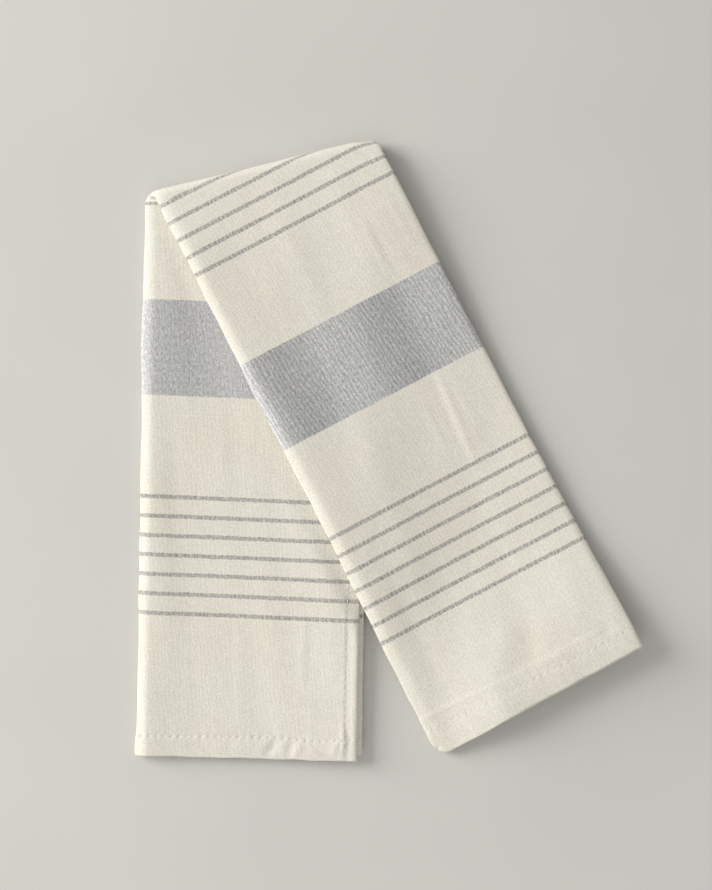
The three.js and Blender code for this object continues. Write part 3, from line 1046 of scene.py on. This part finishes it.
class Shade:
    """Adds nodes to a material and joins them up."""

    def __init__(self, name):
        self.material = bpy.data.materials.new(name)
        self.material.use_nodes = True
        self.nodes = self.material.node_tree.nodes
        self.links = self.material.node_tree.links
        self.nodes.clear()

    def add(self, kind, **settings):
        """A new node with its settings."""
        node = self.nodes.new(kind)
        for name, value in settings.items():
            setattr(node, name, value)
        return node

    def feed(self, socket, value):
        """Links a socket's source, or sets a plain value."""
        if isinstance(value, bpy.types.NodeSocket):
            self.links.new(value, socket)
        else:
            socket.default_value = value

    def parts(self, vector):
        """The parts of a vector, one for each axis."""
        node = self.add("ShaderNodeSeparateXYZ")
        self.links.new(vector, node.inputs[0])
        return node.outputs

    def math(self, operation, *values):
        """One step of arithmetic."""
        node = self.add("ShaderNodeMath", operation=operation)
        for socket, value in zip(node.inputs, values):
            self.feed(socket, value)
        return node.outputs[0]

    def ramp(self, value, low, high, to_low=0.0, to_high=1.0):
        """Takes low to high smoothly to the two new values."""
        node = self.add("ShaderNodeMapRange", interpolation_type="SMOOTHSTEP")
        for name, amount in (
            ("Value", value),
            ("From Min", low),
            ("From Max", high),
            ("To Min", to_low),
            ("To Max", to_high),
        ):
            self.feed(node.inputs[name], amount)
        return node.outputs["Result"]

    def sway(self, grain, reach, low=0.25):
        """Turns a grain into a shift to and fro."""
        return self.ramp(grain, low, 1.0 - low, -reach, reach)

    def mix(self, share, first, second, blend="MIX"):
        """Goes from the first colour to the second."""
        node = self.add("ShaderNodeMix", data_type="RGBA", blend_type=blend)
        self.feed(node.inputs["Factor"], share)
        self.feed(node.inputs[6], first)
        self.feed(node.inputs[7], second)
        return node.outputs[2]

    def brighten(self, tint, amount):
        """Multiplies a colour by an amount."""
        node = self.add("ShaderNodeVectorMath", operation="SCALE")
        self.feed(node.inputs[0], tint)
        self.feed(node.inputs["Scale"], amount)
        return node.outputs[0]

    def vary(self, tint, grain, spread, low=0.25):
        """Lightens and darkens a colour by a grain."""
        return self.brighten(tint, self.ramp(grain, low, 1.0 - low, 1.0 - spread, 1.0 + spread))

    def grain(self, across, along, kind):
        """Noise over a surface, in the sizes of a kind of grain."""
        place = self.add("ShaderNodeCombineXYZ")
        self.feed(place.inputs[0], self.math("DIVIDE", across, kind.across))
        self.feed(place.inputs[1], self.math("DIVIDE", along, kind.along))
        place.inputs[2].default_value = kind.layer
        noise = self.add("ShaderNodeTexNoise", noise_dimensions="3D")
        self.feed(noise.inputs["Vector"], place.outputs[0])
        noise.inputs["Scale"].default_value = 1.0
        noise.inputs["Detail"].default_value = kind.detail
        return noise.outputs[0]

    def surface(self, tint, roughness, **values):
        """The shader and the material's output."""
        shader = self.add("ShaderNodeBsdfPrincipled")
        self.feed(shader.inputs["Base Color"], tint)
        self.feed(shader.inputs["Roughness"], roughness)
        for name, value in values.items():
            self.feed(shader.inputs[name.replace("_", " ")], value)
        output = self.add("ShaderNodeOutputMaterial")
        self.links.new(shader.outputs[0], output.inputs["Surface"])
        return shader

    def bump(self, shader, height, depth):
        """Gives the shader a fine relief of this depth in millimetres."""
        node = self.add("ShaderNodeBump")
        self.feed(node.inputs["Height"], height)
        node.inputs["Strength"].default_value = BUMP_STRENGTH
        node.inputs["Distance"].default_value = depth * MM
        self.links.new(node.outputs[0], shader.inputs["Normal"])


def stripe_mask(shade, along, first, look):
    """1 on the thin stripes of one group, 0 between them."""
    from_first = shade.math("SUBTRACT", along, first)
    steps = shade.math("ADD", shade.math("DIVIDE", from_first, look.stripe_pitch), 0.5)
    from_middle = shade.math("ABSOLUTE", shade.math("SUBTRACT", shade.math("FRACT", steps), 0.5))
    distance = shade.math("MULTIPLY", from_middle, look.stripe_pitch)
    half = look.stripe_width / 2.0
    line = shade.ramp(distance, half - STRIPE_EDGE, half + STRIPE_EDGE, 1.0, 0.0)
    started = shade.math("GREATER_THAN", steps, 0.0)
    going_on = shade.math("LESS_THAN", steps, float(look.stripe_count))
    return shade.math("MULTIPLY", line, shade.math("MULTIPLY", started, going_on))


def band_mask(shade, along, start, look):
    """1 on a wide band, 0 outside it."""
    half = look.band_width / 2.0
    from_middle = shade.math("ABSOLUTE", shade.math("SUBTRACT", along, start + half))
    return shade.ramp(from_middle, half - BAND_EDGE, half + BAND_EDGE, 1.0, 0.0)


def weave_ribs(shade, across, along, look):
    """The weave's slanting ribs, each a row of beads, from -1 to 1."""
    slanted = shade.math("SUBTRACT", across, shade.math("MULTIPLY", along, look.rib_slant))
    rib_drift = shade.sway(shade.grain(across, along, RIB_DRIFT), RIB_DRIFT_TURN, 0.2)
    rib_turn = shade.math("ADD", shade.math("DIVIDE", slanted, look.rib_pitch), rib_drift)
    rib_wave = shade.math("COSINE", shade.math("MULTIPLY", rib_turn, 2.0 * math.pi))
    bead_drift = shade.sway(shade.grain(across, along, BEAD_DRIFT), BEAD_DRIFT_TURN, 0.2)
    bead_turn = shade.math("ADD", shade.math("DIVIDE", along, look.bead_pitch), bead_drift)
    bead_wave = shade.math("COSINE", shade.math("MULTIPLY", bead_turn, 2.0 * math.pi))
    return shade.math("MULTIPLY", rib_wave, shade.ramp(bead_wave, -1.0, 1.0, RIB_LEAST, 1.0))


def needle_holes(shade, off_line, along_line, pitch, line):
    """1 in the small holes between the stitches of a line, 0 elsewhere, some deeper than others."""
    steps = shade.math("DIVIDE", along_line, pitch)
    nearest = shade.math("ROUND", steps)
    beside = shade.math("MULTIPLY", shade.math("SUBTRACT", steps, nearest), pitch)
    over = shade.math("MULTIPLY", off_line, HOLE_SHAPE)
    square = shade.math("ADD", shade.math("MULTIPLY", beside, beside), shade.math("MULTIPLY", over, over))
    hole = shade.ramp(shade.math("SQRT", square), HOLE_RADIUS, HOLE_REACH, 1.0, 0.0)
    chance = shade.add("ShaderNodeTexWhiteNoise", noise_dimensions="1D")
    own_number = shade.math("MULTIPLY_ADD", nearest, HOLE_CHANCE_STEP, line * HOLE_LINE_STEP)
    shade.links.new(own_number, chance.inputs["W"])
    depth = shade.ramp(chance.outputs["Value"], 0.0, HOLE_OFTEN_FULL, HOLE_LEAST, 1.0)
    return shade.math("MULTIPLY", hole, depth)


def sewn_swelling(shade, off_line, along_line, pitch):
    """How the cloth swells between the needle holes of a line."""
    turn = shade.math("MULTIPLY", along_line, 2.0 * math.pi / pitch)
    between = shade.math("SUBTRACT", 1.0, shade.math("COSINE", turn))
    near = shade.ramp(shade.math("ABSOLUTE", off_line), SWELLING_FROM, SWELLING_REACH, 0.5, 0.0)
    return shade.math("MULTIPLY", between, near)


def sewn_lines(shade, across, along, look, cloth):
    """Needle holes and swelling of all four hems."""
    upper_line = cloth.size.strip_length - UPPER_STITCH_LINE
    inner_line = cloth.flat_width - SIDE_STITCH_LINE
    holes = 0.0
    swelling = 0.0
    for line, (over, place, along_line, depth) in enumerate(
        (
            (along, LOWER_STITCH_LINE, across, LOWER_HOLES),
            (along, upper_line, across, UPPER_HOLES),
            (across, SIDE_STITCH_LINE, along, SIDE_HOLES),
            (across, inner_line, along, SIDE_HOLES),
        )
    ):
        off_line = shade.math("SUBTRACT", over, place)
        row = needle_holes(shade, off_line, along_line, look.stitch_pitch, line)
        holes = shade.math("MAXIMUM", holes, shade.math("MULTIPLY", row, depth))
        swell = sewn_swelling(shade, off_line, along_line, look.stitch_pitch)
        swelling = shade.math("MAXIMUM", swelling, shade.math("MULTIPLY", swell, depth))
    return holes, swelling


def woven_cloth(look, cloth):
    """Undyed weave with grey weft stripes and bands, faint ribs, slubs and needle holes; painted sheen and
    highlight on the bands, painted shade in the needle holes and along the side seam.
    """
    shade = Shade("woven_cotton")
    flat_length = cloth.size.strip_length
    pattern = shade.parts(shade.add("ShaderNodeUVMap", uv_map=CLOTH_MAP).outputs[0])
    sewing = shade.parts(shade.add("ShaderNodeUVMap", uv_map=SEWING_MAP).outputs[0])
    across = shade.math("MULTIPLY", pattern[0], cloth.flat_width)
    along = shade.math("MULTIPLY", pattern[1], flat_length)
    sewn_along = shade.math("MULTIPLY", sewing[1], flat_length)
    from_fold = shade.math("ABSOLUTE", shade.math("SUBTRACT", across, cloth.fold_across))
    upper = shade.ramp(along, HALVES_MEET[0] * flat_length, HALVES_MEET[1] * flat_length)

    def grain(kind):
        return shade.grain(across, along, kind)

    def by_half(values):
        return shade.ramp(upper, 0.0, 1.0, *values)

    speck = grain(SPECK)
    fleck = grain(FLECK)
    stroke = grain(STROKE)
    slub = grain(SLUB)
    rib = weave_ribs(shade, across, along, look)
    holes, swelling = sewn_lines(shade, across, sewn_along, look, cloth)

    weft_place = shade.math("ADD", along, shade.sway(grain(WEFT_WANDER), WEFT_WANDER_REACH))
    weft_place = shade.math("ADD", weft_place, shade.sway(grain(WEFT_TEETH), WEFT_TEETH_REACH))
    stripes = 0.0
    for first in (look.lower_stripes, look.middle_stripes, look.upper_stripes):
        stripes = shade.math("MAXIMUM", stripes, stripe_mask(shade, weft_place, first, look))
    bands = 0.0
    for start in (look.lower_band, look.upper_band):
        bands = shade.math("MAXIMUM", bands, band_mask(shade, weft_place, start, look))

    tint = shade.vary(tuple(look.cream)[:3], speck, CREAM_SPECK, 0.3)
    tint = shade.vary(tint, grain(MOTTLE), CREAM_MOTTLE, 0.3)
    tint = shade.vary(tint, grain(WARP_STREAK), CREAM_STREAK)
    warmed = shade.mix(1.0, tint, look.warm, "MULTIPLY")
    tint = shade.mix(shade.ramp(grain(CLOUD), 0.35, 0.7, 0.0, WARM_SHARE), tint, warmed)
    tint = shade.brighten(tint, shade.math("MULTIPLY_ADD", rib, by_half(CREAM_RIB), 1.0))

    band_tint = shade.vary(tuple(look.band_grey)[:3], stroke, BAND_STROKE)
    band_tint = shade.brighten(band_tint, by_half(BAND_TONE))
    # Painted highlight on the band along the rounded left side.
    band_tint = shade.brighten(band_tint, shade.ramp(from_fold, *BAND_PAINTED_HIGHLIGHT_FROM_TO, BAND_PAINTED_HIGHLIGHT, 1.0))
    band_tint = shade.vary(band_tint, speck, BAND_SPECK)
    band_tint = shade.brighten(band_tint, shade.ramp(fleck, 0.55, 0.8, *BAND_FLECK))
    band_tint = shade.brighten(band_tint, shade.math("MULTIPLY_ADD", rib, by_half(BAND_RIB), 1.0))
    # Painted sheen: the band is painted lighter and darker in waves across the strip, less so on the lower
    # half.
    painted_sheen_turn = shade.math("DIVIDE", shade.math("SUBTRACT", from_fold, BAND_PAINTED_SHEEN_PLACE), BAND_PAINTED_SHEEN_STEP)
    painted_sheen_wave = shade.math("COSINE", shade.math("MULTIPLY", painted_sheen_turn, 2.0 * math.pi))
    band_painted_sheen = by_half((BAND_PAINTED_SHEEN_SHARE * look.band_painted_sheen, look.band_painted_sheen))
    band_tint = shade.brighten(band_tint, shade.math("MULTIPLY_ADD", painted_sheen_wave, band_painted_sheen, 1.0))
    tint = shade.mix(bands, tint, band_tint)

    cover = shade.ramp(stroke, 0.25, 0.75, *STRIPE_COVER)
    cover = shade.math("MULTIPLY_ADD", rib, by_half(STRIPE_RIB), cover)
    stripe_tint = shade.vary(tuple(look.stripe_grey)[:3], speck, STRIPE_SPECK)
    tint = shade.mix(shade.math("MULTIPLY", stripes, cover), tint, stripe_tint)

    tint = shade.brighten(tint, shade.ramp(slub, *SLUB_FROM_TO, 1.0, SLUB_SHADE))
    tint = shade.brighten(tint, shade.ramp(grain(WARP_SLUB), *SLUB_FROM_TO, 1.0, WARP_SLUB_SHADE))
    # Painted shade in the needle holes.
    tint = shade.brighten(tint, shade.ramp(holes, 0.0, 1.0, 1.0, HOLE_PAINTED_SHADE))
    # Painted shade along the groove of the side hem's line of stitches, full from a little way past the
    # lower end.
    to_side_line = shade.math("ABSOLUTE", shade.math("SUBTRACT", across, SIDE_STITCH_LINE))
    seam_painted_shade = shade.ramp(sewn_along, *SEAM_FADE, 1.0, SEAM_PAINTED_SHADE)
    tint = shade.brighten(tint, shade.ramp(to_side_line, *SEAM_FROM_TO, seam_painted_shade, 1.0))

    relief = shade.math("MULTIPLY_ADD", rib, RIB_RELIEF, speck)
    relief = shade.math("MULTIPLY_ADD", fleck, FLECK_RELIEF, relief)
    relief = shade.math("MULTIPLY_ADD", shade.math("MULTIPLY", stroke, STROKE_RELIEF), bands, relief)
    relief = shade.math("ADD", relief, shade.ramp(slub, *SLUB_RELIEF_FROM_TO, 0.0, SLUB_RELIEF))
    relief = shade.math("MULTIPLY_ADD", holes, -HOLE_RELIEF, relief)
    relief = shade.math("MULTIPLY_ADD", swelling, SWELLING_RELIEF, relief)
    roughness = shade.ramp(speck, 0.25, 0.75, 0.86, 0.96)
    shader = shade.surface(tint, roughness, Sheen_Weight=0.08, Sheen_Roughness=0.6, Specular_IOR_Level=0.2)
    shade.bump(shader, relief, WEAVE_DEPTH)
    return shade.material


def sewing_thread(look):
    """Undyed twisted thread."""
    shade = Shade("sewing_thread")
    place = shade.parts(shade.add("ShaderNodeTexCoord").outputs["Object"])
    across = shade.math("DIVIDE", place[0], MM)
    along = shade.math("DIVIDE", place[1], MM)
    ply = shade.math("SINE", shade.math("MULTIPLY", shade.math("ADD", across, along), PLY_TURN))
    fuzz = shade.grain(across, along, THREAD_FUZZ)
    tint = shade.brighten(tuple(look.thread)[:3], shade.ramp(fuzz, 0.25, 0.75, 0.90, 1.06))
    roughness = shade.ramp(fuzz, 0.25, 0.75, 0.75, 0.9)
    shader = shade.surface(tint, roughness, Specular_IOR_Level=0.25)
    shade.bump(shader, shade.math("MULTIPLY_ADD", ply, PLY_RELIEF, fuzz), THREAD_DEPTH)
    return shade.material


def pale_floor(stage):
    """Matt pale floor with the faintest unevenness."""
    shade = Shade("pale_floor")
    place = shade.parts(shade.add("ShaderNodeTexCoord").outputs["Object"])
    cloud = shade.grain(place[0], place[1], FLOOR_CLOUD)
    tint = shade.vary(tuple(stage.floor)[:3], cloud, 0.015)
    shade.surface(tint, shade.ramp(cloud, 0.25, 0.75, 0.85, 0.95), Specular_IOR_Level=0.1)
    return shade.material


def stitch_tree():
    """A node tree that lays one small spindle of thread on every stitch of a hem line."""
    tree = bpy.data.node_groups.new("hem_stitching", "GeometryNodeTree")
    sockets = {}
    for name, kind in (
        ("Hem lines", "NodeSocketGeometry"),
        ("Stitch length", "NodeSocketFloat"),
        ("Thread width", "NodeSocketFloat"),
        ("Seed", "NodeSocketInt"),
        ("Thread", "NodeSocketMaterial"),
    ):
        sockets[name] = tree.interface.new_socket(name=name, in_out="INPUT", socket_type=kind).identifier
    tree.interface.new_socket(name="Stitches", in_out="OUTPUT", socket_type="NodeSocketGeometry")
    nodes = tree.nodes
    start = nodes.new("NodeGroupInput")
    end = nodes.new("NodeGroupOutput")
    path = nodes.new("GeometryNodeMeshToCurve")
    marks = nodes.new("GeometryNodeCurveToPoints")
    marks.mode = "EVALUATED"
    spindle = nodes.new("GeometryNodeMeshUVSphere")
    spindle.inputs["Segments"].default_value = SPINDLE_SEGMENTS
    spindle.inputs["Rings"].default_value = SPINDLE_RINGS
    spindle.inputs["Radius"].default_value = 0.5
    spindle_size = nodes.new("ShaderNodeCombineXYZ")
    shape = nodes.new("GeometryNodeTransform")
    jitter = nodes.new("FunctionNodeRandomValue")
    jitter.data_type = "FLOAT_VECTOR"
    jitter.inputs["Min"].default_value = STITCH_LEAST
    jitter.inputs["Max"].default_value = STITCH_MOST
    lay = nodes.new("GeometryNodeInstanceOnPoints")
    smooth = nodes.new("GeometryNodeSetShadeSmooth")
    real = nodes.new("GeometryNodeRealizeInstances")
    finish = nodes.new("GeometryNodeSetMaterial")
    for source, target in (
        (start.outputs["Hem lines"], path.inputs["Mesh"]),
        (path.outputs["Curve"], marks.inputs["Curve"]),
        (start.outputs["Thread width"], spindle_size.inputs[0]),
        (start.outputs["Thread width"], spindle_size.inputs[1]),
        (start.outputs["Stitch length"], spindle_size.inputs[2]),
        (spindle.outputs["Mesh"], shape.inputs["Geometry"]),
        (spindle_size.outputs[0], shape.inputs["Scale"]),
        (start.outputs["Seed"], jitter.inputs["Seed"]),
        (marks.outputs["Points"], lay.inputs["Points"]),
        (shape.outputs["Geometry"], lay.inputs["Instance"]),
        (marks.outputs["Rotation"], lay.inputs["Rotation"]),
        (jitter.outputs[0], lay.inputs["Scale"]),
        (lay.outputs["Instances"], smooth.inputs["Geometry"]),
        (smooth.outputs["Geometry"], real.inputs["Geometry"]),
        (real.outputs["Geometry"], finish.inputs["Geometry"]),
        (start.outputs["Thread"], finish.inputs["Material"]),
        (finish.outputs["Geometry"], end.inputs["Stitches"]),
    ):
        tree.links.new(source, target)
    return tree, sockets


def hem_lines(cloth, look):
    """The lines of stitches on the cloth's outer face, with one point for each stitch."""
    outer = cloth.faces[0]
    runs = [(cloth.flat_across, outer[row, :, :]) for row in cloth.stitch_rows]
    runs += [(cloth.flat_along[:, column], outer[:, column, :]) for column in cloth.stitch_columns]
    places = []
    edges = []
    for distance, line in runs:
        first = len(places)
        stitches = np.arange(distance[0] + look.stitch_pitch / 2.0, distance[-1], look.stitch_pitch)
        points = np.stack([np.interp(stitches, distance, line[:, axis]) for axis in range(3)], axis=1)
        steepness = np.abs(np.gradient(points[:, 2])) / look.stitch_pitch
        least = look.thread_width + STEEP_ROOM * steepness * look.stitch_length
        points[:, 2] = np.maximum(points[:, 2], least)
        places += (points * MM).tolist()
        edges += [(first + step, first + step + 1) for step in range(len(points) - 1)]
    tail = outer[cloth.stitch_rows[0], 0] + np.array(THREAD_TAIL)
    edges += [(len(places) + step, len(places) + step + 1) for step in range(len(tail) - 1)]
    places += (tail * MM).tolist()
    mesh = bpy.data.meshes.new("hem_lines")
    mesh.from_pydata(places, edges, [])
    return mesh


def add_object(name, mesh):
    """A new object at the origin that holds the mesh."""
    piece = bpy.data.objects.new(name, mesh)
    bpy.context.scene.collection.objects.link(piece)
    return piece


def add_light(name, stage):
    """A square soft light that faces the towel from one side."""
    turn = getattr(stage, f"{name}_turn")
    height = getattr(stage, f"{name}_height")
    flat = math.cos(height)
    towards = Vector((flat * math.cos(turn), flat * math.sin(turn), math.sin(height)))
    light = bpy.data.lights.new(name, "AREA")
    light.shape = "SQUARE"
    light.size = getattr(stage, f"{name}_size")
    light.energy = getattr(stage, f"{name}_power")
    facing = towards.to_track_quat("Z", "Y").to_matrix().to_4x4()
    place = Matrix.Translation(towards * getattr(stage, f"{name}_distance"))
    add_object(name, light).matrix_world = place @ facing


def folded_cloth(context):
    """The cloth worked out from the scene's sizes."""
    return FoldedCloth(in_millimetres(context.scene.towel_sizes), in_millimetres(context.scene.towel_look))


class TOWEL_OT_cloth(bpy.types.Operator):
    """Build the folded woven cloth"""

    bl_idname = "towel.cloth"
    bl_label = "Folded cloth"

    def execute(self, context):
        cloth = folded_cloth(context)
        look = in_millimetres(context.scene.towel_look)
        mesh = cloth_mesh(cloth)
        mesh.materials.append(woven_cloth(look, cloth))
        piece = add_object(CLOTH_PIECE, mesh)
        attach(piece, BODY)
        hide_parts(TOWEL_NODE)
        return {"FINISHED"}


class TOWEL_OT_stitches(bpy.types.Operator):
    """Sew the hems with lines of stitches"""

    bl_idname = "towel.stitches"
    bl_label = "Hem stitches"

    def execute(self, context):
        sheet = context.scene.objects.get(CLOTH_PIECE)
        if sheet is None:
            raise RuntimeError("the cloth comes before its stitches")
        cloth = folded_cloth(context)
        look = context.scene.towel_look
        lines = add_object("hem_lines", hem_lines(cloth, in_millimetres(look)))
        tree, sockets = stitch_tree()
        modifier = lines.modifiers.new("hem_stitching", "NODES")
        modifier.node_group = tree
        thread = sewing_thread(in_millimetres(look))
        for name, value in (
            ("Stitch length", look.stitch_length),
            ("Thread width", look.thread_width),
            ("Seed", look.stitch_seed),
            ("Thread", thread),
        ):
            modifier[sockets[name]] = value
        evaluated = lines.evaluated_get(context.evaluated_depsgraph_get())
        mesh = bpy.data.meshes.new_from_object(evaluated)
        lines.modifiers.remove(modifier)
        bpy.data.objects.remove(lines)
        if not mesh.polygons:
            raise RuntimeError("no stitches were made")
        mesh.name = STITCH_PIECE
        piece = add_object(STITCH_PIECE, mesh)
        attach(piece, BODY)
        return {"FINISHED"}


class TOWEL_OT_stage(bpy.types.Operator):
    """Set up the pale floor, the soft light and the camera"""

    bl_idname = "towel.stage"
    bl_label = "Stage"

    def execute(self, context):
        scene = context.scene
        stage = scene.towel_stage
        half = stage.floor_size / 2.0
        mesh = bpy.data.meshes.new("floor")
        down = -FLOOR_DROP * MM
        corners = [(-half, -half, down), (half, -half, down), (half, half, down), (-half, half, down)]
        mesh.from_pydata(corners, [], [(0, 1, 2, 3)])
        mesh.materials.append(pale_floor(stage))
        add_object("floor", mesh)

        add_light("key", stage)
        add_light("low", stage)

        world = bpy.data.worlds.new("even_light")
        world.use_nodes = True
        sky = world.node_tree.nodes["Background"]
        sky.inputs["Color"].default_value = (1.0, 1.0, 1.0, 1.0)
        sky.inputs["Strength"].default_value = stage.fill
        scene.world = world
        scene.view_settings.view_transform = "Standard"

        lens = bpy.data.cameras.new("camera")
        lens.lens = lens.sensor_width * stage.camera_height / stage.view_side
        camera = add_object("camera", lens)
        camera.location = (stage.view_x, stage.view_y, stage.camera_height)
        scene.camera = camera
        return {"FINISHED"}


class TOWEL_PT_parts(bpy.types.Panel):
    """Lists the pieces of the tea towel"""

    bl_idname = "TOWEL_PT_parts"
    bl_label = "Tea towel"
    bl_space_type = "VIEW_3D"
    bl_region_type = "UI"
    bl_category = "Tea towel"

    def draw(self, context):
        for operator in OPERATORS:
            self.layout.operator(operator.bl_idname)


OPERATORS = (TOWEL_OT_cloth, TOWEL_OT_stitches, TOWEL_OT_stage)
SETTINGS = {"towel_sizes": TowelSizes, "towel_look": ClothLook, "towel_stage": StageLook}


def register():
    for group in SETTINGS.values():
        bpy.utils.register_class(group)
    for operator in OPERATORS:
        bpy.utils.register_class(operator)
    bpy.utils.register_class(TOWEL_PT_parts)
    for name, group in SETTINGS.items():
        setattr(bpy.types.Scene, name, bpy.props.PointerProperty(type=group))


def unregister():
    for name in SETTINGS:
        delattr(bpy.types.Scene, name)
    bpy.utils.unregister_class(TOWEL_PT_parts)
    for operator in OPERATORS:
        bpy.utils.unregister_class(operator)
    for group in SETTINGS.values():
        bpy.utils.unregister_class(group)


def main():
    register()
    bpy.ops.towel.cloth()
    bpy.ops.towel.stitches()
    bpy.ops.towel.stage()
    bpy.context.view_layer.update()


if __name__ == "__main__":
    main()
